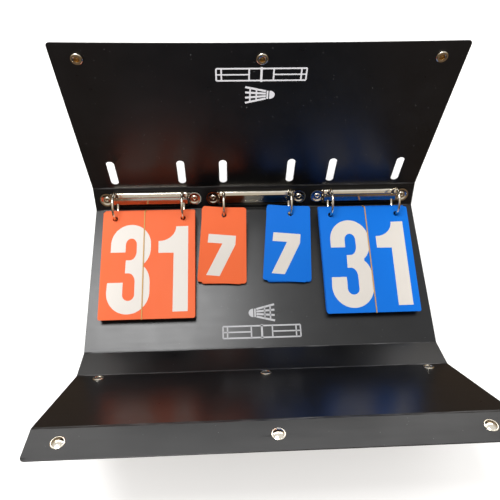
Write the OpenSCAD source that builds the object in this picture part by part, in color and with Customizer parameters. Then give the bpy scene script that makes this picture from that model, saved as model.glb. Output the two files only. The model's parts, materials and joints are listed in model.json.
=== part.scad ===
/* [Sheet] */
// Length of every crease, which is the overall width of the board
sheet_w = 395; // [390:1:410]
// Thickness of the folded plastic sheet
sheet_t = 1.0; // [0.8:0.1:1.2]
// Set-back of each panel's edge from its crease axis
crease_gap = 1.0; // [0.8:0.1:1.5]
// Radius of the sheet's four outer corners
corner_r = 4; // [2:0.5:8]

/* [Panel lengths] */
// Rear flap, from its crease to its free edge
rear_len = 192; // [185:1:200]
// Spine strip that carries the ring mechanisms
spine_len = 30; // [28:1:36]
// Front panel that the cards hang over
front_len = 177; // [170:1:190]
// Lower strip, the narrow side of the closed case
strip_len = 34; // [30:1:40]
// Base flap
base_len = 125; // [115:1:135]
// Closing flap at the free end
closing_len = 30; // [28:1:36]

/* [Opening angles] */
// Direction of the spine strip, up from the table behind the board
spine_angle = 54; // [50:1:58]
// Direction of the rear flap
rear_angle = 77; // [74:1:80]
// Direction of the lower strip, measured the same way round
strip_angle = 145; // [140:1:150]
// Direction of the base flap
base_angle = 118; // [112:1:122]
// Direction of the closing flap
closing_angle = 145; // [140:1:150]

/* [Snap fasteners] */
// Distance of the outer snaps from the middle of the board
snap_x = 172.5; // [165:0.5:180]
// Distance of the sockets from the rear flap's crease
socket_s = 176; // [170:0.5:178]
// Distance of the base flap's snaps from its crease
base_snap_s = 10; // [9:0.5:14]
// Distance of the closing flap's snaps from its crease
closing_snap_s = 14.5; // [12:0.5:16]
// Outside diameter of each snap part
snap_d = 12; // [10:0.5:13]
// Neck of the snap stud
stud_d = 4.4; // [4:0.1:4.8]

/* [Ring mechanisms] */
// Distance from the middle mechanism to each outer one
mech_pitch = 129; // [127:1:133]
// Distance between the two rings of one mechanism
ring_pitch = 80; // [80:1:80]
// Radius of a ring, to the middle of its wire
ring_r = 15.5; // [15:0.1:16]
// Diameter of the ring wire
wire_d = 3; // [2.6:0.1:3.2]
// Height of the ring centre above the spine strip
ring_h = 19.5; // [19:0.1:20.5]
// Place round the ring where its two halves meet, from the foot of the rear flap
split_angle = 198; // [194:1:202]
// Width of the cover plate's arch
cover_w = 18; // [18:0.5:20]
// Height of the cover plate
cover_h = 5.5; // [5.3:0.1:6]
// Thickness of the cover plate
cover_t = 0.8; // [0.6:0.1:0.9]
// Length of the cover plate's arched part
arch_len = 92; // [90:1:94]
// Distance from the mechanism's middle to each rivet
rivet_x = 53; // [52:0.5:54]
// Diameter of the flat round ends of the cover plate
lobe_d = 17; // [15:0.5:18]
// Angle of each blade below level when the rings are closed
blade_tilt = 8; // [6:1:9]

/* [Score cards] */
// Width of a big score card
big_w = 108; // [104:1:112]
// Height of a big score card
big_h = 130; // [124:1:136]
// Number of cards in each big deck behind the front one
big_count = 31; // [20:1:31]
// Width of a small set card
small_w = 52; // [48:1:56]
// Height of a small set card
small_h = 90; // [84:1:96]
// Number of cards in each small pack behind the front one
small_count = 7; // [5:1:9]
// Thickness of one card
card_t = 0.25; // [0.2:0.01:0.25]
// Distance from one card to the next
card_pitch = 0.27; // [0.27:0.01:0.28]
// Diameter of the punched holes
hole_d = 6.5; // [6.3:0.1:7]
// Distance of the holes from the card's top edge
hole_from_top = 9; // [8:0.5:10]
// Corner radius of the big cards
big_card_r = 2; // [1:0.5:4]
// Corner radius of the small cards
small_card_r = 3; // [1:0.5:4]
// Tilt of the big decks below level, towards the front
big_tilt = 4.2; // [4:0.1:5]
// Tilt of the small packs below level
small_tilt = 15.5; // [15:0.1:16]
// Turn of the small front cards about their hole
front_swing = 5; // [0:0.5:6]
// Turn of the small cards behind them
pack_swing = 1.3; // [0:0.1:2]
// Sideways offset of the hole punched in the small blue cards
punch_offset = 2.3; // [0:0.1:3]
// How far the small blue cards hang to the left of their ring
ring_play = 1.1; // [0:0.1:1.3]
// Width of the rubber band round each big deck
band_w = 1.2; // [0.8:0.1:2]
// Thickness of the rubber band
band_t = 0.7; // [0.5:0.1:0.8]

/* [Card slots in the rear flap] */
// Width of each slot
slot_w = 9; // [8:0.5:10]
// Start of each slot, from the rear flap's crease
slot_from = 6; // [5:0.5:8]
// End of each slot
slot_to = 43.5; // [42:0.5:46]

/* [Hidden] */
$fn = 48;

BLACK = "#1c1c1e";
NICKEL = "silver";
BRASS = "#c9a14a";
RED = "#ff6a3c";
BLUE = "#0a7de6";
AMBER = "#c98a3a";

// Crease axes lie at half the sheet's thickness; the front panel's underside is at height 0
function dir(a) = [0, cos(a), sin(a)];
spine_crease = [0, front_len / 2, sheet_t / 2];
rear_crease = spine_crease + spine_len * dir(spine_angle);
strip_crease = [0, -front_len / 2, sheet_t / 2];
base_crease = strip_crease + strip_len * dir(strip_angle);
closing_crease = base_crease + base_len * dir(base_angle);

module at_spine() { translate(spine_crease) rotate([spine_angle, 0, 0]) children(); }
module at_rear_flap() { translate(rear_crease) rotate([rear_angle, 0, 0]) children(); }
// The front chain runs towards its own -Y, so that +Z is its inner face too
module at_base_flap() { translate(base_crease) rotate([base_angle - 180, 0, 0]) children(); }
module at_closing_flap() { translate(closing_crease) rotate([closing_angle - 180, 0, 0]) children(); }

// A panel from crease_gap to len less end_gap along +Y, with its far corners rounded by r
module panel_outline(len, end_gap, r) {
    far = len - end_gap;
    translate([-sheet_w / 2, crease_gap]) square([sheet_w, far - r - crease_gap]);
    if (r > 0) {
        translate([-sheet_w / 2 + r, crease_gap]) square([sheet_w - 2 * r, far - crease_gap]);
        for (side = [-1, 1]) translate([side * (sheet_w / 2 - r), far - r]) circle(r);
    }
}
module sheet_layer() {
    translate([0, 0, -sheet_t / 2]) linear_extrude(height = sheet_t) children();
}
module at_snaps(s) {
    for (side = [-1, 0, 1]) translate([side * snap_x, s, 0]) children();
}

// ---- the six panels of the folded sheet ----

module front_panel() {
    color(BLACK) translate([0, -front_len / 2, sheet_t / 2])
        sheet_layer() panel_outline(front_len, crease_gap, 0);
}

module spine_strip() {
    color(BLACK) at_spine() sheet_layer() difference() {
        panel_outline(spine_len, crease_gap, 0);
        for (i = [-1, 0, 1], side = [-1, 1])
            translate([i * mech_pitch + side * rivet_x, spine_len / 2]) circle(d = rivet_hole_d);
    }
}

// Six slots let the rings through when the flap is folded over them
module rear_flap() {
    color(BLACK) at_rear_flap() sheet_layer() difference() {
        panel_outline(rear_len, 0, corner_r);
        for (i = [-1, 0, 1], side = [-1, 1])
            translate([i * mech_pitch + side * ring_pitch / 2, 0]) slot_outline();
        at_snaps(socket_s) circle(d = stud_d);
    }
}
module slot_outline() {
    translate([-slot_w / 2, slot_from + slot_w / 2]) square([slot_w, slot_to - slot_from - slot_w]);
    for (s = [slot_from + slot_w / 2, slot_to - slot_w / 2]) translate([0, s]) circle(d = slot_w);
}

module lower_strip() {
    color(BLACK) translate(strip_crease) rotate([strip_angle, 0, 0])
        sheet_layer() panel_outline(strip_len, crease_gap, 0);
}

module base_flap() {
    color(BLACK) at_base_flap() sheet_layer() difference() {
        mirror([0, 1, 0]) panel_outline(base_len, crease_gap, 0);
        at_snaps(-base_snap_s) circle(d = stud_d);
    }
}

module closing_flap() {
    color(BLACK) at_closing_flap() sheet_layer() difference() {
        mirror([0, 1, 0]) panel_outline(closing_len, 0, corner_r);
        at_snaps(-closing_snap_s) circle(d = stud_d);
    }
}

// ---- snap fasteners: pressed metal, clamped through the sheet ----

socket_h = 2.6;
socket_mouth_d = 5.6;
socket_wall = 0.6;
flange_t = 0.7;
head_d = 7;
head_h = 0.3;
spring_play = 0.4;
flat_cap_h = 1.1;
cap_floor_h = 0.5;
cap_rim_w = 2;
dome_h = 1.8;
stud_neck_h = 1.6;
stud_head_h = 0.8;
stud_len = 2.2;
stud_lip_w = 0.3;

// Hollow button with a round mouth, on the rear flap's inner face
module rear_flap_snap_sockets() {
    color(NICKEL) at_rear_flap() at_snaps(socket_s) translate([0, 0, sheet_t / 2]) difference() {
        cylinder(d = snap_d, h = socket_h);
        translate([0, 0, socket_wall])
            cylinder(d = snap_d - 2 * socket_wall, h = socket_h - 2 * socket_wall);
        translate([0, 0, socket_h / 2]) cylinder(d = socket_mouth_d, h = socket_h);
        translate([0, 0, -1]) cylinder(d = stud_d, h = socket_h);
    }
}
// Brass spring ring inside each socket, which grips the stud's head
module rear_flap_socket_springs() {
    color(BRASS) at_rear_flap() at_snaps(socket_s)
        translate([0, 0, sheet_t / 2 + socket_wall]) difference() {
            cylinder(d = snap_d - 2 * socket_wall, h = socket_h - 2 * socket_wall);
            translate([0, 0, -1]) cylinder(d = head_d + spring_play, h = socket_h + 2);
        }
}
// Post that holds each socket from the back of the flap
module rear_flap_socket_posts() {
    color(NICKEL) at_rear_flap() at_snaps(socket_s) {
        translate([0, 0, -sheet_t / 2 - flange_t]) cylinder(d = snap_d, h = flange_t);
        translate([0, 0, -sheet_t / 2]) cylinder(d = stud_d, h = sheet_t + socket_wall);
        translate([0, 0, sheet_t / 2 + socket_wall]) cylinder(d = head_d, h = head_h);
    }
}

// Cap on the inner face: a flanged disc or a dome, with its shank through the sheet
module snap_cap(domed) {
    dome_r = (pow(snap_d / 2, 2) + pow(dome_h, 2)) / (2 * dome_h);
    translate([0, 0, sheet_t / 2])
        if (domed) {
            intersection() {
                translate([0, 0, dome_h - dome_r]) sphere(dome_r);
                cylinder(d = snap_d, h = dome_h);
            }
        } else {
            difference() {
                cylinder(d = snap_d, h = flat_cap_h);
                translate([0, 0, cap_floor_h]) cylinder(d = snap_d - 2 * cap_rim_w, h = flat_cap_h);
            }
        }
    translate([0, 0, -sheet_t / 2]) cylinder(d = stud_d, h = sheet_t);
}
// Stud on the outer face, which presses into a socket of the rear flap
module snap_stud() {
    flange_h = -sheet_t / 2 - flange_t;
    translate([0, 0, flange_h]) cylinder(d = snap_d - cap_rim_w, h = flange_t);
    translate([0, 0, flange_h - stud_neck_h]) cylinder(d = stud_d, h = stud_neck_h);
    translate([0, 0, flange_h - stud_len]) cylinder(d = stud_d + 2 * stud_lip_w, h = stud_head_h);
}
module base_flap_snap_caps() {
    color(NICKEL) at_base_flap() at_snaps(-base_snap_s) snap_cap(false);
}
module base_flap_snap_studs() {
    color(NICKEL) at_base_flap() at_snaps(-base_snap_s) snap_stud();
}
module closing_flap_snap_caps() {
    color(NICKEL) at_closing_flap() at_snaps(-closing_snap_s) snap_cap(true);
}
module closing_flap_snap_studs() {
    color(NICKEL) at_closing_flap() at_snaps(-closing_snap_s) snap_stud();
}

// ---- ring mechanisms: sprung cover, two blades, two rings split into halves ----

rivet_hole_d = 4.2;
rivet_bore_d = 2.8;
rivet_head_d = 8;
rivet_head_h = 1.4;
rear_head_d = 9;
rear_head_h = 0.7;
leg_slot = [wire_d + 0.6, 4.8, 5.8];
leg_slot_y = 5.5;
side_wall_h = 2.6;
blade_t = 0.8;
blade_w = 7.4;
blade_len = 88;
bead_r = 0.6;
pivot_p = 7.55;
pivot_q = 1.9;
foot_p = 2.2;
spigot_d = 2;
spigot_head_d = 3.2;
spigot_head_h = 0.3;
elbow_d = wire_d + 0.3;
tip_gap = 0.6;

// Middle of one mechanism on the spine strip's inner face; +Y across the strip, +Z out of it
module at_mech(i) {
    at_spine() translate([i * mech_pitch, spine_len / 2, sheet_t / 2]) children();
}
// Turns a profile drawn in (Y, Z) into a bar along X
module along_x(len) { rotate([90, 0, 90]) linear_extrude(height = len, center = true) children(); }

module arch_outline(inset) {
    crown = cover_h - side_wall_h;
    arch_r = (pow(cover_w / 2, 2) + pow(crown, 2)) / (2 * crown);
    translate([-cover_w / 2 + inset, -inset]) square([cover_w - 2 * inset, side_wall_h + inset]);
    intersection() {
        translate([0, cover_h - arch_r]) circle(arch_r - inset, $fn = 96);
        translate([-cover_w / 2 + inset, 0]) square([cover_w - 2 * inset, cover_h]);
    }
}
module cover_plate(i) {
    color(NICKEL) at_mech(i) difference() {
        union() {
            along_x(arch_len) arch_outline(0);
            for (side = [-1, 1]) translate([side * rivet_x, 0, 0]) cylinder(d = lobe_d, h = cover_t);
        }
        along_x(arch_len - 2 * cover_t) arch_outline(cover_t);
        for (side = [-1, 1]) {
            translate([side * rivet_x, 0, -1]) cylinder(d = rivet_hole_d, h = 4);
            // slots for the legs of both half rings
            for (jaw = [-1, 1])
                translate([side * ring_pitch / 2, jaw * leg_slot_y, cover_h]) cube(leg_slot, center = true);
        }
    }
}

// Frame of one blade: origin on the outer edge that it rocks about, blade along -Y
module at_jaw(i, jaw) {
    at_mech(i) mirror([0, jaw < 0 ? 1 : 0, 0]) translate([0, pivot_p, pivot_q]) rotate([blade_tilt, 0, 0])
        children();
}
module blade(i, jaw) {
    color(NICKEL) at_jaw(i, jaw) difference() {
        union() {
            translate([-blade_len / 2, -blade_w, -blade_t / 2]) cube([blade_len, blade_w, blade_t]);
            along_x(blade_len) circle(bead_r);
        }
        for (side = [-1, 1])
            translate([side * ring_pitch / 2, -foot_p, -2]) cylinder(d = spigot_d, h = 4);
    }
}

// Height of the leg's elbow over the blade, where the leg meets the ring circle
function leg_h() =
    let (foot = [pivot_p - foot_p * cos(blade_tilt), pivot_q - foot_p * sin(blade_tilt) - ring_h],
         up = [-sin(blade_tilt), cos(blade_tilt)],
         along = foot * up)
    -along - sqrt(pow(along, 2) - foot * foot + pow(ring_r, 2));
function elbow_angle() =
    atan2(pivot_q - foot_p * sin(blade_tilt) + leg_h() * cos(blade_tilt) - ring_h,
          pivot_p - foot_p * cos(blade_tilt) - leg_h() * sin(blade_tilt));

module ring_arc(from, to) {
    translate([0, 0, ring_h]) rotate([90, 0, 90]) rotate([0, 0, from])
        rotate_extrude(angle = to - from) translate([ring_r, 0]) circle(d = wire_d);
}
module half_rings(i, jaw) {
    from = jaw > 0 ? elbow_angle() : split_angle + tip_gap / 2;
    to = jaw > 0 ? split_angle - tip_gap / 2 : 180 - elbow_angle();
    color(NICKEL) for (side = [-1, 1]) {
        at_mech(i) translate([side * ring_pitch / 2, 0, 0]) ring_arc(from, to);
        at_jaw(i, jaw) translate([side * ring_pitch / 2, -foot_p, 0]) {
            translate([0, 0, leg_h()]) sphere(d = elbow_d);
            translate([0, 0, blade_t / 2]) cylinder(d = wire_d, h = leg_h() - blade_t / 2);
            translate([0, 0, -blade_t / 2]) cylinder(d = spigot_d, h = blade_t);
            translate([0, 0, -blade_t / 2 - spigot_head_h]) cylinder(d = spigot_head_d, h = spigot_head_h);
        }
    }
}

// Six hollow rivets hold the three covers to the spine strip
module mechanism_rivets() {
    head_r = (pow(rivet_head_d / 2, 2) + pow(rivet_head_h, 2)) / (2 * rivet_head_h);
    color(NICKEL) for (i = [-1, 0, 1], side = [-1, 1])
        at_mech(i) translate([side * rivet_x, 0, 0]) difference() {
            union() {
                translate([0, 0, cover_t]) intersection() {
                    translate([0, 0, rivet_head_h - head_r]) sphere(head_r);
                    cylinder(d = rivet_head_d, h = rivet_head_h);
                }
                translate([0, 0, -sheet_t]) cylinder(d = rivet_hole_d, h = sheet_t + cover_t);
                translate([0, 0, -sheet_t - rear_head_h]) cylinder(d = rear_head_d, h = rear_head_h);
            }
            translate([0, 0, -sheet_t / 2])
                cylinder(d = rivet_bore_d, h = sheet_t + cover_t + rivet_head_h);
        }
}

// ---- decks: punched cards threaded on the rings ----

ring_centre = spine_crease + spine_len / 2 * dir(spine_angle)
    + (sheet_t / 2 + ring_h) * dir(spine_angle + 90);
// Places round the ring where the front cards hang
big_top = 198;
small_top = 172;
// Places of the rubber bands across the red and the blue deck
red_band_x = -5.4;
blue_band_x = 2.2;
band_play = 0.03;

// Place round the ring of a card that lies drop below the front card of its deck
function hang_angle(top, tilt, drop) = 90 + tilt + acos(cos(top - 90 - tilt) - drop / ring_r);
function hang_point(top, tilt, drop) = ring_centre + ring_r * dir(hang_angle(top, tilt, drop));

module card_outline(w, h, pitch, offset_x) {
    r = pitch > 0 ? big_card_r : small_card_r;
    difference() {
        translate([offset_x, 0]) {
            translate([-w / 2 + r, hole_from_top - h]) square([w - 2 * r, h]);
            translate([-w / 2, hole_from_top - h + r]) square([w, h - 2 * r]);
            for (side = [-1, 1], y = [hole_from_top - h + r, hole_from_top - r])
                translate([side * (w / 2 - r), y]) circle(r);
        }
        if (pitch > 0) for (side = [-1, 1]) translate([side * pitch / 2, 0]) circle(d = hole_d);
        else circle(d = hole_d);
    }
}
module card(w, h, pitch, top, tilt, number, swing = 0, offset_x = 0) {
    translate(hang_point(top, tilt, number * card_pitch)) rotate([tilt, 0, 0]) rotate([0, 0, swing])
        translate([0, 0, -card_t / 2]) linear_extrude(height = card_t) card_outline(w, h, pitch, offset_x);
}
module big_card(side, number) {
    translate([side * mech_pitch, 0, 0]) card(big_w, big_h, ring_pitch, big_top, big_tilt, number);
}
// The red cards hang centred; the blue ones are punched off centre and hang to one side
module small_card(side, number) {
    swing = number == 0 ? -front_swing : -pack_swing;
    blue = side > 0 ? 1 : 0;
    translate([side * ring_pitch / 2 - blue * ring_play, 0, 0])
        card(small_w, small_h, 0, small_top, small_tilt, number, swing, -blue * punch_offset);
}

// Outline of a big deck seen from its edge, grown by g, with Y along the cards
function deck_edge(number) =
    hang_point(big_top, big_tilt, number * card_pitch) - hang_point(big_top, big_tilt, 0);
function deck_y(number) = deck_edge(number)[1] * cos(big_tilt) + deck_edge(number)[2] * sin(big_tilt);
module deck_outline(g) {
    offset(r = g, $fn = 24) polygon(concat(
        [[hole_from_top, card_t / 2]],
        [for (n = [0 : big_count])
            [deck_y(n) + hole_from_top - big_h, (n < big_count / 2 ? 0.5 : -0.5) * card_t - n * card_pitch]],
        [[deck_y(big_count) + hole_from_top, -big_count * card_pitch - card_t / 2]]
    ));
}
// Rubber band, stretched over the deck from top to bottom
module deck_band(side, offset_x) {
    color(AMBER) translate([side * mech_pitch + offset_x, 0, 0])
        translate(hang_point(big_top, big_tilt, 0)) rotate([big_tilt, 0, 0])
            along_x(band_w) difference() {
                deck_outline(band_play + band_t);
                deck_outline(band_play);
            }
}

front_panel();
spine_strip();
rear_flap();
lower_strip();
base_flap();
closing_flap();
cover_plate(-1);  // left_cover_plate
blade(-1, 1);  // left_upper_blade
blade(-1, -1);  // left_lower_blade
half_rings(-1, 1);  // left_upper_half_rings
half_rings(-1, -1);  // left_lower_half_rings
cover_plate(0);  // middle_cover_plate
blade(0, 1);  // middle_upper_blade
blade(0, -1);  // middle_lower_blade
half_rings(0, 1);  // middle_upper_half_rings
half_rings(0, -1);  // middle_lower_half_rings
cover_plate(1);  // right_cover_plate
blade(1, 1);  // right_upper_blade
blade(1, -1);  // right_lower_blade
half_rings(1, 1);  // right_upper_half_rings
half_rings(1, -1);  // right_lower_half_rings
mechanism_rivets();
rear_flap_snap_sockets();
rear_flap_socket_springs();
rear_flap_socket_posts();
base_flap_snap_caps();
base_flap_snap_studs();
closing_flap_snap_caps();
closing_flap_snap_studs();
color(RED) big_card(-1, 0);  // red_score_front_card
color(RED) for (n = [1 : big_count]) big_card(-1, n);  // red_score_cards
deck_band(-1, red_band_x);  // red_deck_band
color(BLUE) big_card(1, 0);  // blue_score_front_card
color(BLUE) for (n = [1 : big_count]) big_card(1, n);  // blue_score_cards
deck_band(1, blue_band_x);  // blue_deck_band
color(RED) small_card(-1, 0);  // red_set_front_card
color(RED) for (n = [1 : small_count]) small_card(-1, n);  // red_set_cards
color(BLUE) small_card(1, 0);  // blue_set_front_card
color(BLUE) for (n = [1 : small_count]) small_card(1, n);  // blue_set_cards
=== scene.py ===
import json
import math

import bmesh
import bpy
import numpy as np
from mathutils import Matrix, Vector


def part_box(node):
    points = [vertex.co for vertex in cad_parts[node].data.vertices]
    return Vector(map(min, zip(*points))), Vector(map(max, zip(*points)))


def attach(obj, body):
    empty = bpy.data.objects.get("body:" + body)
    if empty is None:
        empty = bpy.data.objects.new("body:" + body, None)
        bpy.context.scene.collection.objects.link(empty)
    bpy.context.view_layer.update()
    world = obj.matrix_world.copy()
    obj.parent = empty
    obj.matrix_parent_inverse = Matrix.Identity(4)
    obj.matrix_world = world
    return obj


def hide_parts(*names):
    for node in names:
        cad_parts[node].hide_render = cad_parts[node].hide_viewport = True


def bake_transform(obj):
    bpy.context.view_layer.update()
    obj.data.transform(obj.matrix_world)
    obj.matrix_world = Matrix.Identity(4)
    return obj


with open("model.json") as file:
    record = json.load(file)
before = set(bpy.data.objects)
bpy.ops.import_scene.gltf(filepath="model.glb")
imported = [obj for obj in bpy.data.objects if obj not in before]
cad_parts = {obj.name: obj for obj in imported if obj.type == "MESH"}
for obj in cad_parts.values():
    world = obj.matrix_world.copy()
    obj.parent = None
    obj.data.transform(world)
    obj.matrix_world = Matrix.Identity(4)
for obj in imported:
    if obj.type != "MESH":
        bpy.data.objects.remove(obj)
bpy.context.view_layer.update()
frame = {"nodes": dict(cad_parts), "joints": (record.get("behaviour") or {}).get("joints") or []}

# ---- Table, light and camera ----
# The board lies open on a plain pale table, in the soft light of a studio with one big lamp above and
# behind it. The camera stands in front, above the base flap, and looks down at the cards.
MM = 0.001
scene = bpy.context.scene
scene.view_settings.view_transform = "Standard"

CAMERA_PLACE = Vector((-0.0373, -0.2081, 0.5655))
CAMERA_RIGHT = Vector((0.9987, -0.0393, 0.0323))
CAMERA_FORWARD = Vector((0.0450, 0.3889, -0.9202))


def add_camera():
    """Camera at its place, with its axes made square from where it looks and which way is right."""
    forward = CAMERA_FORWARD.normalized()
    right = (CAMERA_RIGHT - forward * CAMERA_RIGHT.dot(forward)).normalized()
    up = right.cross(forward)
    data = bpy.data.cameras.new("camera")
    data.sensor_width = 36
    data.lens = 36.55
    camera = bpy.data.objects.new("camera", data)
    turn = Matrix((right, up, -forward)).transposed().to_4x4()
    camera.matrix_world = Matrix.Translation(CAMERA_PLACE) @ turn
    scene.collection.objects.link(camera)
    scene.camera = camera


def add_lamp(name, place, aim, size, power):
    """White rectangular lamp at place, facing aim."""
    data = bpy.data.lights.new(name, "AREA")
    data.shape = "RECTANGLE"
    data.size, data.size_y = size
    data.energy = power
    lamp = bpy.data.objects.new(name, data)
    lamp.location = place
    lamp.rotation_euler = (Vector(aim) - Vector(place)).to_track_quat("-Z", "Y").to_euler()
    scene.collection.objects.link(lamp)
    return lamp


add_camera()
add_lamp("overhead_lamp", (-0.42, 0.40, 1.5), (-0.42, 0.39, 0), (0.75, 0.62), 19)
add_lamp("rear_lamp", (0.0, 1.5, 0.62), (0, 0, 0.1), (2.4, 0.5), 12)
# the fills in front only soften shadows and leave no reflection
add_lamp("front_fill", (0.1, -1.8, 0.7), (0, 0, 0.0), (2.4, 0.8), 26).visible_glossy = False
add_lamp("low_fill", (0.0, -1.9, 0.38), (0, -0.4, 0.0), (2.4, 0.4), 34).visible_glossy = False


class Val:
    """A shader socket that adds Math nodes as it is used in sums and products."""

    def __init__(self, tree, socket):
        self.tree, self.socket = tree, socket

    def math(self, operation, *values):
        """Output of a new Math node on sockets or numbers."""
        made = self.tree.nodes.new("ShaderNodeMath")
        made.operation = operation
        for place, value in zip(made.inputs, values, strict=False):
            if isinstance(value, Val):
                self.tree.links.new(value.socket, place)
            else:
                place.default_value = value
        return Val(self.tree, made.outputs[0])

    def __add__(self, other):
        return self.math("ADD", self, other)

    def __sub__(self, other):
        return self.math("SUBTRACT", self, other)

    def __rsub__(self, other):
        return self.math("SUBTRACT", other, self)

    def __mul__(self, other):
        return self.math("MULTIPLY", self, other)

    def __truediv__(self, other):
        return self.math("DIVIDE", self, other)

    __radd__ = __add__
    __rmul__ = __mul__

    def over(self, edge, softness):
        """0 below edge, rising to 1 at edge + softness."""
        return self.math("MINIMUM", self.math("MAXIMUM", (self - edge) / softness, 0.0), 1.0)


class Nodes:
    """A node tree whose nodes are added by kind."""

    def __init__(self, tree):
        self.tree = tree

    def node(self, kind, settings=None, out=0, stops=None, **sockets):
        """Output of a new node, given its settings first, then a ramp's stops, then its sockets."""
        made = self.tree.nodes.new(kind)
        for key, value in (settings or {}).items():
            setattr(made, key, value)
        if stops:
            ramp = made.color_ramp.elements
            while len(ramp) < len(stops):
                ramp.new(0.5)
            for stop, (place, colour) in zip(ramp, stops, strict=True):
                stop.position, stop.color = place, (*colour, 1)
        for key, value in sockets.items():
            self.feed(made.inputs[key.replace("_", " ")], value)
        return Val(self.tree, made.outputs[out])

    def feed(self, socket, value):
        """Links a socket to value, or sets it."""
        if isinstance(value, Val):
            self.tree.links.new(value.socket, socket)
        elif isinstance(value, tuple) and len(value) == 3 and socket.type == "RGBA":
            socket.default_value = (*value, 1)
        else:
            socket.default_value = value

    def blend(self, share, first, second):
        """Colour that runs from first to second with share."""
        mix = self.tree.nodes.new("ShaderNodeMix")
        mix.data_type = "RGBA"
        for key, value in (("Factor_Float", share), ("A_Color", first), ("B_Color", second)):
            self.feed(next(s for s in mix.inputs if s.identifier == key), value)
        return Val(self.tree, next(s for s in mix.outputs if s.identifier == "Result_Color"))


class Finish(Nodes):
    """A material whose surface varies from place to place."""

    def __init__(self, name):
        self.material = bpy.data.materials.new(name)
        self.material.use_nodes = True
        super().__init__(self.material.node_tree)
        self.shader = self.tree.nodes["Principled BSDF"]
        self.here = self.node("ShaderNodeTexCoord", out="Object")

    def set(self, **sockets):
        """Sets or links the surface's own sockets."""
        for key, value in sockets.items():
            self.feed(self.shader.inputs[key.replace("_", " ")], value)

    def noise(self, scale, detail=2.0, stretch=(1, 1, 1), roughness=0.5):
        """Noise from 0 to 1, scale in cells per metre."""
        spot = self.node("ShaderNodeMapping", Vector=self.here, Scale=stretch)
        return self.node("ShaderNodeTexNoise", Vector=spot, Scale=scale, Detail=detail,
                         Roughness=roughness)

    def specks(self, scale, share, size, seed):
        """1 in the middle of a share of cells scattered scale to the metre, 0 elsewhere."""
        moved = self.node("ShaderNodeMapping", Vector=self.here, Location=(seed, seed * 0.7, seed * 0.3))
        settings = {"voronoi_dimensions": "3D", "feature": "F1"}
        near = self.node("ShaderNodeTexVoronoi", settings, Vector=moved, Scale=scale, out="Distance")
        tint = self.node("ShaderNodeTexVoronoi", settings, Vector=moved, Scale=scale, out="Color")
        pick = self.node("ShaderNodeSeparateColor", Color=tint, out="Red")
        return (1.0 - near.over(size, size)) * pick.over(1.0 - share, 0.001)

    def bump(self, height, depth, strength=1.0):
        """Bump whose height of 0 to 1 stands for depth in metres."""
        made = self.node("ShaderNodeBump", Height=height, Distance=depth, Strength=strength, out="Normal")
        self.set(Normal=made)


def pale_table():
    """Pale matt table top, with a faint unevenness of tone."""
    finish = Finish("pale_table")
    tone = finish.noise(6.0, 3.0)
    finish.set(Base_Color=finish.blend(tone, (0.93, 0.93, 0.93), (0.95, 0.95, 0.95)), Roughness=0.7)
    return finish.material


ROOM_STOPS = ((0.25, (0.16, 0.11, 0.07)), (0.45, (0.42, 0.33, 0.22)), (0.75, (1.0, 1.0, 1.0)))
ROOM_GREY = (0.85, 0.85, 0.85)
ROOM_STRENGTH = 0.85


def add_room():
    """Room that reflects as a dim warm brown in front and white overhead, and looks pale grey."""
    world = bpy.data.worlds.new("studio")
    scene.world = world
    world.use_nodes = True
    room = Nodes(world.node_tree)
    direction = room.node("ShaderNodeTexCoord", out="Generated")
    upwards = room.node("ShaderNodeSeparateXYZ", Vector=direction, out="Z")
    backwards = room.node("ShaderNodeSeparateXYZ", Vector=direction, out="Y")
    rise = 0.3 + (upwards + backwards * 0.35) * 0.55
    walls = room.node("ShaderNodeValToRGB", stops=ROOM_STOPS, Fac=rise, out="Color")
    looked_at = room.node("ShaderNodeLightPath", out="Is Camera Ray")
    background = world.node_tree.nodes["Background"]
    room.feed(background.inputs["Color"], room.blend(looked_at, walls, ROOM_GREY))
    room.feed(background.inputs["Strength"], ROOM_STRENGTH)


add_room()


def put(name, mesh, material, body=None, replaces=()):
    """Object at the origin that holds mesh, rides on body and stands for the CAD nodes named."""
    piece = bpy.data.objects.new(name, mesh)
    mesh.materials.clear()
    mesh.materials.append(material)
    scene.collection.objects.link(piece)
    if body:
        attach(piece, body)
    if replaces:
        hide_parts(*replaces)
    return piece


def coat(node, material):
    """Gives the shape of a CAD node its material."""
    shape = frame["nodes"][node].data
    shape.materials.clear()
    shape.materials.append(material)


def mesh_of(name, points, faces, smooth=True):
    """Mesh from an array of points in metres and a list of faces."""
    mesh = bpy.data.meshes.new(name)
    mesh.from_pydata(np.asarray(points, float).reshape(-1, 3).tolist(), [], faces)
    mesh.polygons.foreach_set("use_smooth", np.full(len(mesh.polygons), smooth))
    mesh.update()
    return mesh


def rounded(mesh, degrees):
    """Shades mesh smoothly, except over edges that turn by more than degrees."""
    mesh.shade_smooth()
    mesh.set_sharp_from_angle(angle=math.radians(degrees))


def grid_faces(rows, columns, first=0, around=False):
    """Faces of a grid of rows by columns points, closed round its columns if around is set."""
    steps = np.arange(columns if around else columns - 1)
    row, column = np.meshgrid(np.arange(rows - 1) * columns, steps, indexing="ij")
    after = (column + 1) % columns
    corners = (row + column, row + after, row + columns + after, row + columns + column)
    return (first + np.stack([c.ravel() for c in corners], axis=1)).tolist()


TABLE_HALF = 4.0
TABLE_Z = -0.4 * MM
table_corners = [
    (-TABLE_HALF, -TABLE_HALF, TABLE_Z), (TABLE_HALF, -TABLE_HALF, TABLE_Z),
    (TABLE_HALF, TABLE_HALF, TABLE_Z), (-TABLE_HALF, TABLE_HALF, TABLE_Z),
]
floor = put("table_top", mesh_of("table_top", table_corners, [(0, 1, 2, 3)], smooth=False), pale_table())
# the sheet and the metal reflect the dim room in front instead of the bright table
floor.visible_glossy = False

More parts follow.
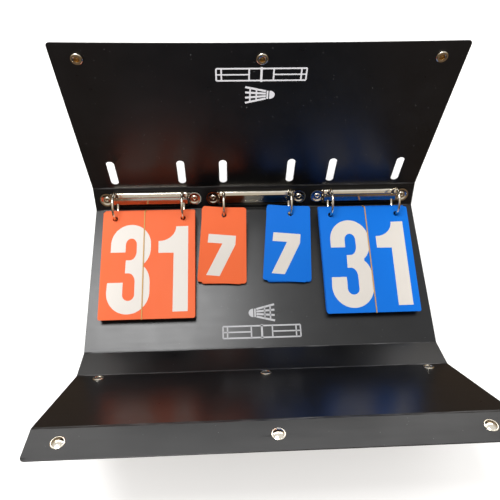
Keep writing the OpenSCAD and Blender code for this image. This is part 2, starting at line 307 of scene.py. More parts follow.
# ---- Folded sheet ----
# One sheet of black polypropylene, 1 mm thick with a fine satin grain, die-cut with slots for the rings and
# pressed with five creases. The rear flap bows forward a little along its free edge.
SHEET_T = 1.0 * MM
REAR_ANGLE = 77.0
CLOSING_ANGLE = 145.0
hinges = {joint["name"]: joint for joint in frame["joints"]}


def crease(name):
    """Crease axis of a fold in the Y, Z plane, in metres."""
    return np.array(hinges[name]["pos_m"][1:])


def heading(first, second):
    """Direction from one crease to the next, in degrees up from +Y."""
    run = crease(second) - crease(first)
    return math.degrees(math.atan2(run[1], run[0]))


class Panel:
    """Local frame of one panel: s runs away from its crease, h stands out of its inner face's side."""

    def __init__(self, origin, angle, inner_sign):
        turn = math.radians(angle)
        self.origin = np.asarray(origin, float)
        self.along = np.array([math.cos(turn), math.sin(turn)])
        self.out = inner_sign * np.array([-math.sin(turn), math.cos(turn)])

    def at(self, x, s, h):
        """World points for arrays of x, s and h."""
        x, s, h = np.broadcast_arrays(x, s, h)
        flat = self.origin + s[..., None] * self.along + h[..., None] * self.out
        return np.concatenate([x[..., None], flat], axis=-1)

    def local(self, points):
        """x, s and h of world points."""
        flat = points[:, 1:] - self.origin
        return points[:, 0], flat @ self.along, flat @ self.out


FRONT = Panel((0, SHEET_T / 2), 0, 1)
SPINE = Panel(crease("spine_fold"), heading("spine_fold", "rear_flap_fold"), 1)
REAR = Panel(crease("rear_flap_fold"), REAR_ANGLE, 1)
STRIP = Panel(crease("lower_strip_fold"), heading("lower_strip_fold", "base_flap_fold"), -1)
BASE = Panel(crease("base_flap_fold"), heading("base_flap_fold", "closing_flap_fold"), -1)
CLOSING = Panel(crease("closing_flap_fold"), CLOSING_ANGLE, -1)


def black_sheet():
    """Satin black polypropylene: a fine pressed grain, slow waves in the sheet, dust and rubbed patches."""
    finish = Finish("black_polypropylene")
    grain = finish.noise(2600.0, 2.0)
    waves = finish.noise(9.0, 1.0)
    rubbed = finish.noise(38.0, 4.0, roughness=0.65)
    hair = finish.noise(260.0, 2.0, stretch=(0.08, 1, 1))
    dust = finish.specks(150.0, share=0.05, size=0.035, seed=3.1)
    dust = dust + finish.specks(420.0, share=0.05, size=0.06, seed=7.7)
    black = finish.blend(rubbed, (0.0018, 0.0019, 0.0024), (0.0048, 0.0049, 0.0056))
    finish.set(
        Base_Color=finish.blend(dust * 0.6, black, (0.42, 0.42, 0.42)),
        Roughness=0.22 + 0.10 * rubbed + 0.06 * hair + 0.3 * dust,
        IOR=1.49,
    )
    finish.bump(grain * 0.35 + waves * 25.0, 0.00002)
    return finish.material


BLACK = black_sheet()


REAR_BOW = 2.4 * MM
# the free edge draws back as it bows, so that it stays as high as it was
BOW_DRAW = 0.235
REAR_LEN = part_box("rear_flap")[1][2] / math.sin(math.radians(REAR_ANGLE))
HALF_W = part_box("rear_flap")[1][0]


def bowed(x, s):
    """Where a place on the rear flap goes as it bows: the new s, and how far it stands forward."""
    lift = REAR_BOW * (s / REAR_LEN) ** 2 * (1 - (x / HALF_W) ** 2)
    return s - BOW_DRAW * lift, lift


EDGE_R = 0.22 * MM
CUTS_X = 25
CUTS_S = 11


def cut_panel(name, node, panel, body):
    """Panel with its die-cut edges rounded, on a grid fine enough to bend."""
    shape = bmesh.new()
    shape.from_mesh(frame["nodes"][node].data)
    bmesh.ops.remove_doubles(shape, verts=shape.verts, dist=0.002 * MM)
    bmesh.ops.dissolve_limit(shape, angle_limit=math.radians(1), verts=shape.verts, edges=shape.edges)
    rims = [e for e in shape.edges if e.is_manifold and e.calc_face_angle() > math.radians(40)]
    bmesh.ops.bevel(shape, geom=rims, offset=EDGE_R, segments=2, profile=0.5, affect="EDGES")
    low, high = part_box(node)
    across = Vector((0, *panel.along))
    origin = Vector((0, *panel.origin))
    reach = [across.dot(vertex.co - origin) for vertex in shape.verts]
    cuts = [(Vector((x, 0, 0)), Vector((1, 0, 0))) for x in np.linspace(low[0], high[0], CUTS_X)[1:-1]]
    cuts += [(origin + across * s, across) for s in np.linspace(min(reach), max(reach), CUTS_S)[1:-1]]
    for place, normal in cuts:
        everything = shape.verts[:] + shape.edges[:] + shape.faces[:]
        bmesh.ops.bisect_plane(shape, geom=everything, dist=1e-7, plane_co=place, plane_no=normal)
    mesh = bpy.data.meshes.new(name)
    shape.to_mesh(mesh)
    shape.free()
    if panel is REAR:
        points = np.empty(len(mesh.vertices) * 3)
        mesh.vertices.foreach_get("co", points)
        x, s, h = panel.local(points.reshape(-1, 3))
        s, lift = bowed(x, s)
        mesh.vertices.foreach_set("co", panel.at(x, s, h + lift).ravel())
    rounded(mesh, 15)
    piece = put(name, mesh, BLACK, body, [node])


cut_panel("front_panel_sheet", "front_panel", FRONT, "front_panel")
cut_panel("spine_strip_sheet", "spine_strip", SPINE, "spine")
cut_panel("rear_flap_sheet", "rear_flap", REAR, "rear_flap")
cut_panel("lower_strip_sheet", "lower_strip", STRIP, "lower_strip")
cut_panel("base_flap_sheet", "base_flap", BASE, "base_flap")
cut_panel("closing_flap_sheet", "closing_flap", CLOSING, "closing_flap")

# ---- Creases ----
# Each crease is a thin pressed web of the same sheet, coloured a little paler grey than the panels. It
# joins two panels and bends between them.
SETBACK = 1.0 * MM
WEB_OVERLAP = 0.5 * MM
WEB_EDGE = 0.94
WEB_THINNING = 0.38


def paler_crease_sheet():
    """The same plastic where it is creased, coloured slightly greyer, with fine pale streaks along X."""
    finish = Finish("creased_polypropylene")
    streak = finish.noise(420.0, 3.0, stretch=(0.12, 1, 1))
    finish.set(
        # the crease's colour runs from near black to a paler grey along the streaks
        Base_Color=finish.blend(streak.over(0.48, 0.25), (0.014, 0.014, 0.015), (0.075, 0.075, 0.078)),
        Roughness=0.30 + 0.15 * streak,
    )
    finish.bump(streak, 0.00004)
    return finish.material


PALER_CREASE = paler_crease_sheet()


def unit_slopes(path):
    """Directions along a path in the Y, Z plane, each of length 1."""
    slope = np.gradient(path, axis=0)
    return slope / np.linalg.norm(slope, axis=1, keepdims=True)


def tidy_normals(mesh):
    """Turns every face of a closed mesh outwards."""
    shape = bmesh.new()
    shape.from_mesh(mesh)
    bmesh.ops.remove_doubles(shape, verts=shape.verts, dist=0.001 * MM)
    bmesh.ops.recalc_face_normals(shape, faces=shape.faces)
    shape.to_mesh(mesh)
    shape.free()


def crease_web(name, before, after, pivot):
    """Strip along X: its section is a quadratic curve from one panel to the other, thin in the middle."""
    reach = SETBACK + WEB_OVERLAP
    first, last = pivot + before * reach, pivot + after * reach
    t = np.linspace(0, 1, 13)[:, None]
    curve = (1 - t) ** 2 * first + 2 * t * (1 - t) * pivot + t**2 * last
    slope = unit_slopes(curve)
    side = np.stack([-slope[:, 1], slope[:, 0]], axis=1)
    half = SHEET_T / 2 * (WEB_EDGE - WEB_THINNING * np.sin(np.pi * t) ** 2)
    section = np.concatenate([curve + side * half, (curve - side * half)[::-1]])
    stations = np.linspace(-HALF_W, HALF_W, 41)
    rows, columns = len(stations), len(section)
    points = np.empty((rows, columns, 3))
    points[..., 0] = stations[:, None]
    points[..., 1:] = section
    faces = grid_faces(rows, columns, around=True)
    faces += [list(range(columns))[::-1], list(range((rows - 1) * columns, rows * columns))]
    mesh = mesh_of(name, points, faces)
    tidy_normals(mesh)
    piece = put(name, mesh, PALER_CREASE)
    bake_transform(piece)


forwards = np.array([-1.0, 0.0])
crease_web("spine_crease", forwards, SPINE.along, SPINE.origin)
crease_web("rear_flap_crease", -SPINE.along, REAR.along, REAR.origin)
crease_web("lower_strip_crease", -forwards, STRIP.along, STRIP.origin)
crease_web("base_flap_crease", -STRIP.along, BASE.along, BASE.origin)
crease_web("closing_flap_crease", -BASE.along, CLOSING.along, CLOSING.origin)

# ---- Cover plates ----
# Each ring mechanism has a pressed cover of nickel-plated spring steel, arched over the blades, with a flat
# round lug at each end for a rivet. The rings' legs come up through small slots.
RING_PITCH = 80.0 * MM
COVER_W = 18.0 * MM
COVER_H = 5.5 * MM
COVER_T = 0.8 * MM
RIVET_X = 53.0 * MM
LUG_R = 8.5 * MM
ARCH_END = 45.0 * MM
LUG_START = RIVET_X - LUG_R * 0.55
NECK_IN = 1.6 * MM
ARCH_POWER = 0.42
RIM_H = 0.9 * MM
BEAD_H = 0.28 * MM
BEAD_PLACE = 0.52
BEAD_SPREAD = 0.09
WALL = 0.6 * COVER_T
mech_x = {"left": -129.0 * MM, "middle": 0.0, "right": 129.0 * MM}
SPINE_MIDDLE = 15.0 * MM
mech_origin = SPINE.origin + SPINE_MIDDLE * SPINE.along + SHEET_T / 2 * SPINE.out
MECH = Panel(mech_origin, heading("spine_fold", "rear_flap_fold"), 1)


def nickel():
    """Bright nickel plate, warm in tone, with faint drawing lines along X, smears and tiny pits."""
    finish = Finish("nickel_plate")
    drawn = finish.noise(900.0, 2.0, stretch=(0.05, 1, 1))
    smear = finish.noise(140.0, 3.0)
    pits = finish.specks(900.0, share=0.04, size=0.12, seed=1.3)
    finish.set(
        Base_Color=finish.blend(smear, (0.74, 0.67, 0.54), (0.86, 0.82, 0.73)),
        Metallic=1.0,
        Roughness=0.07 + 0.10 * smear + 0.05 * drawn + 0.25 * pits,
    )
    finish.bump(drawn * 0.6 + pits * -1.0 + smear * 2.0, 0.000012)
    return finish.material


NICKEL = nickel()


def smoothstep(x, low, high):
    """0 below low and 1 above high, with level ends between them."""
    t = np.clip((x - low) / (high - low), 0, 1)
    return t * t * (3 - 2 * t)


def cover_mesh():
    """Arch over (x, a): half width W(x) sin a and height H(x) |cos a|^0.42, flat and round at the lugs.

    A low rim stands round each lug and a bead runs along each flank of the arch.
    """
    x = np.concatenate([
        np.linspace(0, ARCH_END - 4 * MM, 12),
        np.linspace(ARCH_END - 3 * MM, RIVET_X - LUG_R * 0.2, 16),
        RIVET_X + LUG_R * np.sin(np.linspace(0, math.pi / 2, 14)),
    ])
    x = np.concatenate([-x[:0:-1], x])[:, None]
    far = np.abs(x)
    a = np.linspace(-math.pi / 2, math.pi / 2, 49)[None, :]
    lug = np.sqrt(np.clip(LUG_R**2 - (far - RIVET_X) ** 2, (0.02 * MM) ** 2, None))
    neck = smoothstep(far, ARCH_END - 2 * MM, LUG_START)
    width = np.where(far < LUG_START, COVER_W / 2 - NECK_IN * neck, lug)
    width = np.minimum(width, COVER_W / 2)
    fall = smoothstep(far, ARCH_END - 0.8 * MM, ARCH_END + 2.6 * MM)
    height = COVER_T + (COVER_H - COVER_T) * (1 - fall)
    across = width * np.sign(np.sin(a)) * np.abs(np.sin(a)) ** 0.9
    raised = COVER_T + (height - COVER_T) * np.abs(np.cos(a)) ** ARCH_POWER
    from_rivet = np.hypot(far - RIVET_X, across)
    rim = RIM_H * smoothstep(from_rivet, 4.4 * MM, 7.2 * MM) * smoothstep(far, ARCH_END, ARCH_END + 3 * MM)
    bead = BEAD_H * np.exp(-(((np.abs(across) / width - BEAD_PLACE) / BEAD_SPREAD) ** 2))
    bead = bead * smoothstep(height, COVER_T, COVER_H)
    return mesh_of("cover_plate", MECH.at(x, across, raised + bead + rim), grid_faces(*across.shape))


def applied(piece):
    """Mesh of piece with its modifiers applied."""
    made = bpy.data.meshes.new_from_object(piece.evaluated_get(bpy.context.evaluated_depsgraph_get()))
    bpy.data.objects.remove(piece)
    return made


def box_mesh(name, x, s, h, panel, size):
    """Box of size about a place in a panel's frame."""
    sign = np.array([(i, j, k) for i in (-1, 1) for j in (-1, 1) for k in (-1, 1)]) / 2 * np.asarray(size)
    points = panel.at(x + sign[:, 0], s + sign[:, 1], h + sign[:, 2])
    faces = [(0, 1, 3, 2), (4, 6, 7, 5), (0, 4, 5, 1), (2, 3, 7, 6), (0, 2, 6, 4), (1, 5, 7, 3)]
    mesh = mesh_of(name, points, faces, smooth=False)
    tidy_normals(mesh)
    return mesh


SLOT_S = 5.6 * MM
LEG_SLOT = (3.6 * MM, 4.2 * MM, 6.0 * MM)


def slotted_cover():
    """The arch given its thickness, then cut with four leg slots."""
    piece = put("cover_blank", cover_mesh(), NICKEL)
    wall = piece.modifiers.new("wall", "SOLIDIFY")
    wall.thickness, wall.offset = WALL, -1
    blank = applied(piece)
    tidy_normals(blank)
    piece = put("cover_blank", blank, NICKEL)
    cutters = []
    for side in (-1, 1):
        for jaw in (-1, 1):
            cut = box_mesh("leg_slot", side * RING_PITCH / 2, jaw * SLOT_S, COVER_H, MECH, LEG_SLOT)
            cutters.append(put("leg_slot", cut, NICKEL))
            bore = piece.modifiers.new("slot", "BOOLEAN")
            bore.object, bore.operation, bore.solver = cutters[-1], "DIFFERENCE", "EXACT"
    bpy.context.view_layer.update()
    mesh = applied(piece)
    for cutter in cutters:
        bpy.data.objects.remove(cutter)
    return mesh


def moved(mesh, x):
    """Copy of mesh moved along X."""
    copy = mesh.copy()
    copy.transform(Matrix.Translation((x, 0, 0)))
    return copy


cover = slotted_cover()
for side, x in mech_x.items():
    cover_copy = moved(cover, x)
    rounded(cover_copy, 35)
    piece = put(side + "_cover", cover_copy, NICKEL, "spine", [side + "_cover_plate"])

# ---- Blades ----
# Two flat steel blades under each cover rock about their outer edges and carry the half rings.
for side in mech_x:
    coat(side + "_upper_blade", NICKEL)
    coat(side + "_lower_blade", NICKEL)

# ---- Half rings ----
# Each ring is 3 mm nickel-plated wire in two halves: a long upper one that the cards hang on and a short
# lower one. Each half bends sharply into a leg that is riveted to its blade.
RING_R = 15.5 * MM
WIRE_R = 1.5 * MM
ring_centre = np.array(hinges["red_set_flip"]["pos_m"][1:])
# degrees round the ring, from the way up the spine strip and turning out of its inner face
SPLIT = 198.0
ELBOW = 71.5
TIP_GAP = 0.6
LEG_LEAN = 8.0
BEND_RUN = 1.0 * MM
BEND_DROP = 1.2 * MM


def tube(path, radius, sides=16):
    """Round bar along a path in the Y, Z plane: circles square to the path, with slightly domed ends."""
    slope = unit_slopes(path)
    first, last = path[0], path[-1]
    cap = radius * np.array([0.0, 0.6, 0.9])
    starts = np.stack([first - slope[0] * radius * k for k in (0.25, 0.2, 0.08)])
    ends = np.stack([last + slope[-1] * radius * k for k in (0.08, 0.2, 0.25)])
    spine = np.concatenate([starts, path, ends])
    slopes = np.concatenate([np.repeat(slope[:1], 3, 0), slope, np.repeat(slope[-1:], 3, 0)])
    radii = np.concatenate([cap, np.full(len(path), radius), cap[::-1]])
    turn = np.linspace(0, 2 * math.pi, sides, endpoint=False)
    normal = np.stack([-slopes[:, 1], slopes[:, 0]], axis=1)
    x = radii[:, None] * np.cos(turn)
    flat = spine[:, None, :] + normal[:, None, :] * (radii[:, None] * np.sin(turn))[..., None]
    return np.concatenate([x[..., None], flat], axis=2)


def ring_path(start, end, leg_first):
    """Arc of the ring between two places, with a short bend into a leg towards the blade at one end."""
    angle = np.radians(np.linspace(start, end, 60))
    local = RING_R * np.stack([np.cos(angle), np.sin(angle)], axis=1)
    elbow = local[0] if leg_first else local[-1]
    run = (local[0] - local[1]) if leg_first else (local[-1] - local[-2])
    run /= np.linalg.norm(run)
    lean = math.radians(LEG_LEAN)
    down = np.array([math.copysign(math.sin(lean), elbow[0]), -math.cos(lean)])
    t = np.linspace(0, 1, 7)[1:, None]
    bend = elbow + run * BEND_RUN * (2 * t * (1 - t) + t**2) + down * BEND_DROP * t**2
    leg = bend[-1] + down * np.linspace(0.4 * MM, 1.6 * MM, 3)[:, None]
    tail = np.concatenate([bend, leg])
    local = np.concatenate([tail[::-1], local]) if leg_first else np.concatenate([local, tail])
    return ring_centre + local[:, :1] * MECH.along + local[:, 1:] * MECH.out


def half_rings(name, x, path):
    """The two like halves of one mechanism."""
    bar = tube(path, WIRE_R)
    rows, columns = bar.shape[:2]
    points, faces = [], []
    for number, side in enumerate((-1, 1)):
        placed = bar.copy()
        placed[..., 0] += x + side * RING_PITCH / 2
        points.append(placed.reshape(-1, 3))
        faces += grid_faces(rows, columns, number * rows * columns, around=True)
    mesh = mesh_of(name, np.concatenate(points), faces)
    tidy_normals(mesh)
    return mesh


for side, x in mech_x.items():
    long_half = half_rings(side + "_upper_rings", x, ring_path(-ELBOW, SPLIT - TIP_GAP / 2, True))
    short_half = half_rings(side + "_lower_rings", x, ring_path(SPLIT + TIP_GAP / 2, 180 + ELBOW, False))
    upper_halves, lower_halves = [side + "_upper_half_rings"], [side + "_lower_half_rings"]
    upper = put(side + "_upper_rings", long_half, NICKEL, side + "_upper_jaw", upper_halves)
    lower = put(side + "_lower_rings", short_half, NICKEL, side + "_lower_jaw", lower_halves)

# ---- Rivets ----
# Hollow nickel-plated rivets hold the covers to the spine strip: a rolled head in front, a flat one behind.


def lathe(profile, places, panel, sides=32):
    """Profile of (radius, height) points turned about the panel's outward axis at each (x, s, h)."""
    profile = np.asarray(profile, float) * MM
    turn = np.linspace(0, 2 * math.pi, sides, endpoint=False)
    points, faces = [], []
    for x, s, h in places:
        ring_x = x + profile[:, :1] * np.cos(turn)
        ring_s = s + profile[:, :1] * np.sin(turn)
        ring_h = np.broadcast_to(h + profile[:, 1:], ring_x.shape)
        faces += grid_faces(len(profile), sides, sum(len(p) for p in points), around=True)
        points.append(panel.at(ring_x, ring_s, ring_h).reshape(-1, 3))
    return np.concatenate(points), faces


def turned(name, profile, places, panel, material, body, replaces, slot_name):
    """Piece of like turned parts on a panel, with closed poles."""
    mesh = mesh_of(name, *lathe(profile, places, panel))
    tidy_normals(mesh)
    rounded(mesh, 35)
    piece = put(name, mesh, material, body, replaces)


rivet_places = [(x + side * RIVET_X, 0.0, 0.0) for x in mech_x.values() for side in (-1, 1)]
# half outline of a rivet, (radius, height) in millimetres from the foot of the cover
RIVET = [
    (1.4, -1.7), (1.4, 1.1), (1.5, 1.6), (1.8, 2.0), (2.3, 2.15), (2.8, 2.05), (3.3, 1.7), (3.7, 1.3),
    (4.0, 1.0), (4.0, 0.8), (2.05, 0.8), (2.05, -1.02), (4.3, -1.02), (4.5, -1.2), (4.5, -1.6),
    (4.3, -1.7), (1.4, -1.7),
]
turned("cover_rivets", RIVET, rivet_places, MECH, NICKEL, "spine", ["mechanism_rivets"], "nickel")

# ---- Snap fasteners ----
# Pressed nickel snaps clamp through the sheet: hollow sockets with a brass spring on the rear flap, flanged
# caps on the base flap and domed caps on the closing flap, each cap with its stud on the outer face.
SNAP_X = 172.5 * MM


def snap_places(s):
    """The three snaps of a flap, s from its crease."""
    return [(side * SNAP_X, s, 0.0) for side in (-1, 0, 1)]


def brass():
    """Spring brass with a dull bloom."""
    finish = Finish("spring_brass")
    bloom = finish.noise(500.0, 3.0)
    tone = finish.blend(bloom, (0.78, 0.50, 0.16), (0.62, 0.42, 0.18))
    finish.set(Base_Color=tone, Metallic=1.0, Roughness=0.22 + 0.2 * bloom)
    finish.bump(bloom, 0.00001)
    return finish.material


BRASS = brass()
# half outlines of the parts, (radius, height) in millimetres from the middle of the sheet
SOCKET = [
    (2.3, 0.55), (5.6, 0.5), (5.9, 0.6), (6.0, 0.9), (6.0, 1.6), (5.9, 2.1), (5.6, 2.6), (5.1, 2.95),
    (4.6, 3.08), (4.0, 3.0), (3.5, 2.85), (3.1, 2.75), (2.85, 2.6), (2.8, 2.4), (3.1, 2.35),
    (4.8, 2.4), (5.3, 2.2), (5.4, 1.15), (2.3, 1.1), (2.3, 0.55),
]
SPRING = [
    (3.7, 1.15), (5.35, 1.15), (5.35, 2.3), (3.3, 2.3), (3.15, 2.15), (3.2, 2.0), (3.7, 1.8),
    (3.7, 1.15),
]
POST = [
    (0, 2.15), (0.6, 2.05), (1.0, 1.75), (1.2, 1.4), (3.3, 1.4), (3.5, 1.3), (3.5, 1.12), (2.2, 1.12),
    (2.2, -0.5), (5.7, -0.5), (6.0, -0.7), (5.9, -1.0), (5.4, -1.2), (3.0, -1.2), (2.4, -1.05),
    (0, -1.0),
]
FLAT_CAP = [
    (0, 0.95), (3.2, 0.95), (3.8, 1.0), (4.1, 1.3), (4.6, 1.55), (5.3, 1.58), (5.8, 1.3), (6.0, 0.8),
    (5.9, 0.5), (2.2, 0.5), (2.2, -0.5), (0, -0.5),
]
DOMED_CAP = [
    (0, 2.3), (1.0, 2.26), (2.0, 2.12), (3.0, 1.88), (4.0, 1.5), (4.6, 1.22), (4.9, 1.05), (5.2, 1.12),
    (5.7, 1.05), (6.0, 0.8), (5.9, 0.5), (2.2, 0.5), (2.2, -0.5), (0, -0.5),
]
STUD = [
    (2.2, -0.5), (4.9, -0.5), (5.0, -0.7), (4.9, -1.1), (4.4, -1.2), (2.6, -1.2), (2.2, -1.35),
    (2.2, -1.9), (2.45, -2.1), (2.5, -2.5), (2.3, -2.85), (1.9, -2.9), (1.4, -2.7), (0, -2.65),
]
SOCKET_S = 176.0 * MM
BASE_SNAP_S = 10.0 * MM
CLOSING_SNAP_S = 14.5 * MM
on_rear = ([(x, *bowed(x, s)) for x, s, _ in snap_places(SOCKET_S)], REAR)
turned("socket_rings", SOCKET, *on_rear, NICKEL, "rear_flap", ["rear_flap_snap_sockets"], "snap_metal")
turned("socket_springs", SPRING, *on_rear, BRASS, "rear_flap", ["rear_flap_socket_springs"], "brass")
turned("socket_posts", POST, *on_rear, BRASS, "rear_flap", ["rear_flap_socket_posts"], "snap_metal")
on_base = (snap_places(BASE_SNAP_S), BASE)
turned("flanged_caps", FLAT_CAP, *on_base, NICKEL, "base_flap", ["base_flap_snap_caps"], "snap_metal")
turned("base_flap_studs", STUD, *on_base, NICKEL, "base_flap", ["base_flap_snap_studs"], "snap_metal")
on_closing = (snap_places(CLOSING_SNAP_S), CLOSING)
turned("domed_caps", DOMED_CAP, *on_closing, NICKEL, "closing_flap", ["closing_flap_snap_caps"],
       "snap_metal")
turned("closing_flap_studs", STUD, *on_closing, NICKEL, "closing_flap", ["closing_flap_snap_studs"],
       "snap_metal")

# ---- Score cards ----
# Plastic cards 0.25 mm thick, printed red or blue on both sides, punched and threaded on the rings. The
# cards behind the front one lie a little unevenly.
BIG_TILT = 4.2
SMALL_TILT = 15.5
BIG_LOOSE = 0.35 * MM
SMALL_LOOSE = 0.5 * MM
CARD_T = 0.25 * MM
CARD_PITCH = 0.27 * MM
HOLE_FROM_TOP = 9.0 * MM


def printed_card(name, light, deep):
    """Satin print with slow changes of tone, a faint pressed texture and a few scuffs."""
    finish = Finish(name)
    tone = finish.noise(14.0, 2.0)
    tooth = finish.noise(3000.0, 2.0)
    scuff = finish.noise(90.0, 4.0, stretch=(1, 0.25, 1), roughness=0.7)
    finish.set(
        Base_Color=finish.blend(tone, light, deep),
        Roughness=0.40 + 0.12 * scuff,
        Specular_IOR_Level=0.12,
    )
    finish.bump(tooth * 0.25 + tone * 4.0, 0.00001)
    return finish.material


RED = printed_card("red_print", (0.80, 0.150, 0.048), (0.76, 0.122, 0.034))
BLUE = printed_card("blue_print", (0.002, 0.160, 0.66), (0.001, 0.138, 0.62))


def deck(top_degrees, tilt):
    """Frame of a deck's front card: origin on its hole line, s up the card, h out of its face."""
    turn = math.radians(top_degrees)
    hole = ring_centre + RING_R * np.array([math.cos(turn), math.sin(turn)])
    return Panel(hole, tilt, 1)


# where on its ring each deck hangs, in the same degrees as the ring's own places
BIG_PLACE = 198.0
SMALL_PLACE = 172.0
BIG = deck(BIG_PLACE, BIG_TILT)
SMALL = deck(SMALL_PLACE, SMALL_TILT)


def loosened(name, node, panel, spread, seed):
    """Copy of a deck of cards with each one shifted a little along its own face."""
    mesh = frame["nodes"][node].data.copy()
    mesh.name = name
    points = np.empty(len(mesh.vertices) * 3)
    mesh.vertices.foreach_get("co", points)
    x, s, h = panel.local(points.reshape(-1, 3))
    number = np.rint(-h / CARD_PITCH).astype(int)
    shift = np.random.default_rng(seed).uniform(-spread, spread, (number.max() + 1, 2))
    mesh.vertices.foreach_set("co", panel.at(x + shift[number, 0], s + shift[number, 1] * 0.7, h).ravel())
    mesh.update()
    return mesh


for colour, material, seed in (("red", RED, 11), ("blue", BLUE, 12)):
    coat(colour + "_score_front_card", material)
    coat(colour + "_set_front_card", material)
    pile = loosened(colour + "_score_pile", colour + "_score_cards", BIG, BIG_LOOSE, seed)
    pack = loosened(colour + "_set_pile", colour + "_set_cards", SMALL, SMALL_LOOSE, seed + 2)
    piece = put(colour + "_score_pile", pile, material, colour + "_score_deck", [colour + "_score_cards"])
    piece = put(colour + "_set_pile", pack, material, colour + "_set_pack", [colour + "_set_cards"])

# ---- Numerals ----
# Heavy condensed numerals printed in warm white: a film of ink on the front cards. Each outline is drawn on
# the card in millimetres, across from its left edge and down from its top edge.


def warm_white():
    """Slightly uneven warm white ink."""
    finish = Finish("white_ink")
    tone = finish.noise(30.0, 3.0)
    white = finish.blend(tone, (0.63, 0.59, 0.54), (0.67, 0.63, 0.585))
    finish.set(Base_Color=white, Roughness=0.45 + 0.1 * tone)
    finish.bump(finish.noise(2500.0, 2.0), 0.000004)
    return finish.material


INK = warm_white()
INK_T = 0.03 * MM


def bend(cx, cy, rx, ry, start, end, steps=14):
    """Points on an ellipse about (cx, cy), angles in degrees from +u towards +v."""
    angle = np.radians(np.linspace(start, end, steps))
    return np.stack([cx + rx * np.cos(angle), cy + ry * np.sin(angle)], axis=1)


THREE = np.concatenate([
    [(27.6, 51.0), (10.6, 51.0)],
    bend(33.7, 41.5, 23.1, 24.7, 180, 360, 30),
    bend(40.8, 46.0, 16.0, 22.4, 0, 60, 12),
    bend(40.8, 87.6, 15.6, 22.4, -60, 0, 12),
    bend(32.1, 98.6, 24.3, 25.6, 0, 180, 30),
    [(8.4, 87.4), (25.9, 87.4)],
    bend(32.6, 101.6, 6.8, 7.2, 180, 0, 16),
    bend(32.0, 87.0, 7.4, 10.6, 0, -90, 10),
    [(28.0, 76.4), (28.4, 60.8)],
    bend(33.0, 50.0, 7.5, 10.8, 90, 0, 10),
    bend(34.1, 42.0, 6.4, 8.0, 0, -180, 16),
])
ONE = np.concatenate([
    [(83.3, 52.6), (65.7, 52.4), (65.6, 37.9)],
    bend(66.5, 20.0, 19.4, 17.8, 85, 3, 14),
    [(85.9, 19.8), (100.2, 19.5), (99.8, 122.3), (82.8, 122.4)],
])
SEVEN = np.array([
    (9.5, 33.0), (41.7, 33.3), (41.6, 44.0), (25.5, 82.0), (9.9, 81.7), (26.3, 43.4), (9.0, 43.4),
])


def ink_mesh(name, outlines, place):
    """Flat film over each outline, INK_T thick; place turns (u, v, h) arrays into world points."""
    shape = bmesh.new()
    for outline in outlines:
        u, v = np.asarray(outline, float).T * MM
        low = [shape.verts.new(p) for p in place(u, v, np.full(len(u), 0.0))]
        high = [shape.verts.new(p) for p in place(u, v, np.full(len(u), INK_T))]
        shape.faces.new(high)
        shape.faces.new(low[::-1])
        for i in range(len(low)):
            j = (i + 1) % len(low)
            shape.faces.new((low[i], low[j], high[j], high[i]))
    bmesh.ops.recalc_face_normals(shape, faces=shape.faces)
    bmesh.ops.triangulate(shape, faces=[f for f in shape.faces if len(f.verts) > 4])
    mesh = bpy.data.meshes.new(name)
    shape.to_mesh(mesh)
    shape.free()
    return mesh


def on_card(panel, hole_x, left, swing=0.0):
    """Places card millimetres on the front card's face, turned about its hole by swing degrees."""
    turn = math.radians(swing)

    def place(u, v, h):
        x, s = u - left, HOLE_FROM_TOP - v
        turned_x = x * math.cos(turn) - s * math.sin(turn)
        turned_s = x * math.sin(turn) + s * math.cos(turn)
        return panel.at(hole_x + turned_x, turned_s, h + CARD_T / 2)

    return place


BIG_W = 108.0 * MM
SMALL_W = 52.0 * MM
SWING = -5.0
# the small blue cards are punched off centre and hang to the left on their ring
PUNCH_OFFSET = 2.3 * MM
RING_PLAY = 1.1 * MM
blue_hole_x = RING_PITCH / 2 - RING_PLAY
for colour, side, hole_x, left in (
    ("red", "left", -RING_PITCH / 2, SMALL_W / 2),
    ("blue", "right", blue_hole_x, SMALL_W / 2 + PUNCH_OFFSET),
):
    place = on_card(BIG, mech_x[side], BIG_W / 2)
    digits = ink_mesh("score_numerals", [THREE, ONE], place)
    put(colour + "_score_numerals", digits, INK, colour + "_score_deck")
    place = on_card(SMALL, hole_x, left, SWING)
    put(colour + "_set_numeral", ink_mesh("set_numeral", [SEVEN], place), INK, colour + "_set_front")

# ---- Printed emblem ----
# A light grey print on the rear flap and the front panel: a shuttlecock above the plan of a court. On the
# open board the one on the rear flap stands on its head.


LINE_STEP = 6


def line(u0, v0, u1, v1, width=1.5):
    """Outline of a straight line between two places, with points along it so that it can bend."""
    run = np.array([u1 - u0, v1 - v0], float)
    side = np.array([-run[1], run[0]]) / np.hypot(*run) * width / 2
    t = np.linspace(0, 1, 2 + int(np.hypot(*run) / LINE_STEP))[:, None]
    middle = np.array([(u0, v0)]) + t * run
    return np.concatenate([middle + side, (middle - side)[::-1]])


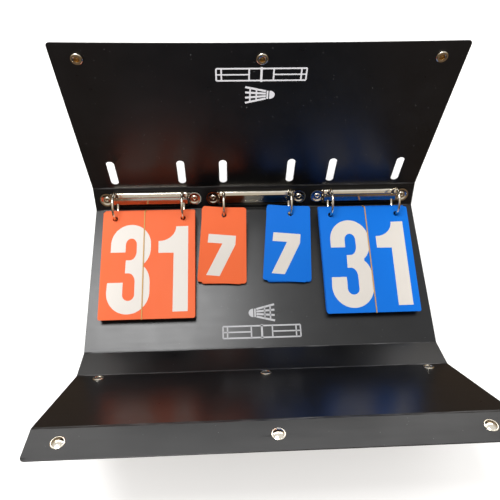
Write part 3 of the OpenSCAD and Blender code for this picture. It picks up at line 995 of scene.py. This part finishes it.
SHUTTLECOCK = [
    bend(-9.0, 0, 5.4, 5.0, 90, 270, 18),
    line(-7.0, -5.0, -7.0, 5.0, 1.8),
    *[line(-5.4, v * 0.46, 15.5, v, 2.3) for v in (-9.6, -3.2, 3.2, 9.6)],
    line(4.2, -6.6, 4.2, 6.6, 1.5),
    line(10.6, -8.2, 10.6, 8.2, 1.5),
]
COURT = [
    *[line(-44, v, 44, v, 1.7) for v in (-6.8, 6.8)],
    *[line(u, -6.8, u, 6.8) for u in (-44, -39, -12, 12, 39, 44)],
    line(0, -8.4, 0, 8.4, 2.2),
    *[line(side * 12, 0, side * 44, 0) for side in (-1, 1)],
]


def pale_print():
    """Thin light grey print, worn a little."""
    finish = Finish("pale_print")
    wear = finish.noise(600.0, 4.0, roughness=0.7)
    grey = finish.blend(wear.over(0.62, 0.2), (0.46, 0.46, 0.48), (0.20, 0.20, 0.21))
    finish.set(Base_Color=grey, Roughness=0.45 + 0.1 * wear)
    finish.bump(wear, 0.000004)
    return finish.material


PRINT = pale_print()


def on_panel(panel, s0, up, bend_it=None):
    """Places emblem millimetres on a panel's inner face, with v running down it or, if up is set, up it."""
    sign = 1 if up else -1

    def place(u, v, h):
        x, s = -sign * u, s0 + sign * v
        lift = 0.0
        if bend_it:
            s, lift = bend_it(x, s)
        return panel.at(x, s, h + SHEET_T / 2 + lift)

    return place


def emblem(name, panel, s_mark, s_court, up, body, bend_it=None):
    """The two parts of the print, each about its own place on a panel."""
    for part, outlines, s in (("_shuttlecock", SHUTTLECOCK, s_mark), ("_court", COURT, s_court)):
        place = on_panel(panel, s, up, bend_it)
        put(name + part, ink_mesh(name + part, outlines, place), PRINT, body)


emblem("rear_emblem", REAR, 134.0 * MM, 158.0 * MM, True, "rear_flap", bowed)
emblem("front_emblem", FRONT, -48.0 * MM, -70.0 * MM, False, "front_panel")

# ---- Rubber bands ----
# A thin natural-rubber band is stretched round each big deck from top to bottom.


def amber_rubber():
    """Natural rubber: translucent amber with a dusty bloom."""
    finish = Finish("natural_rubber")
    bloom = finish.noise(700.0, 3.0)
    amber = finish.blend(bloom, (0.45, 0.23, 0.040), (0.56, 0.32, 0.080))
    finish.set(Base_Color=amber, Roughness=0.5 + 0.2 * bloom)
    finish.bump(bloom, 0.00002)
    return finish.material


AMBER = amber_rubber()
coat("red_deck_band", AMBER)
coat("blue_deck_band", AMBER)
